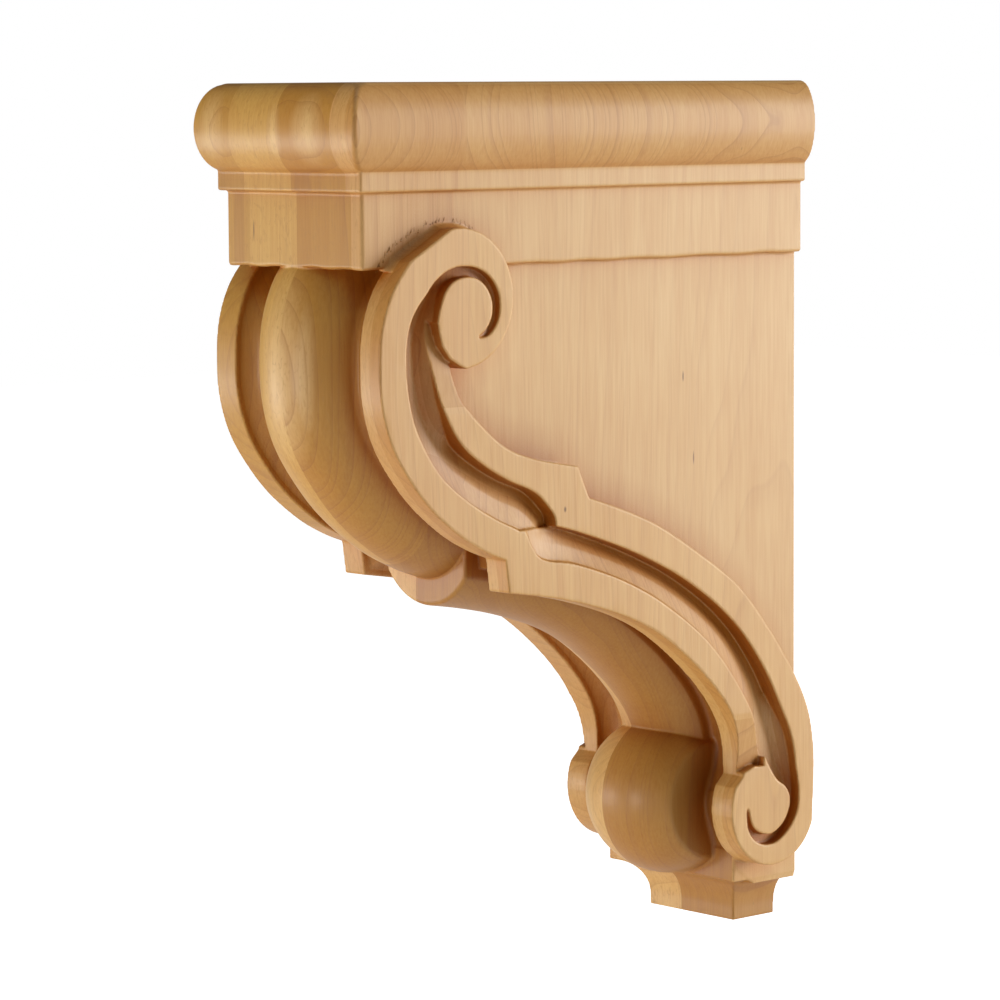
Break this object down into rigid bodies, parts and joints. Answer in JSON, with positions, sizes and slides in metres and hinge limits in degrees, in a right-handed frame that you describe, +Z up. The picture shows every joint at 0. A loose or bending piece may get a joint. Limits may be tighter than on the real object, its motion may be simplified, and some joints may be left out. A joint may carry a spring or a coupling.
{
  "type": "bar bracket",
  "caption": "Carved wooden bracket: a moulded top over scroll straps with a belly between them and a small coved foot, fixed by its flat back to hold up a bar top.",
  "frame": {"origin": "middle of the flat back face, where the bracket is fixed to the wall", "axes": "+Z up, +Y into the wall, so the carved front faces -Y, and +X across the bracket"},
  "size_m": [0.101, 0.2511, 0.3556],
  "materials": {
    "maple": "clear satin lacquer over sanded, glued-up maple"
  },
  "bodies": {
    "root": {"bracket": "maple"}
  },
  "joints": []
}
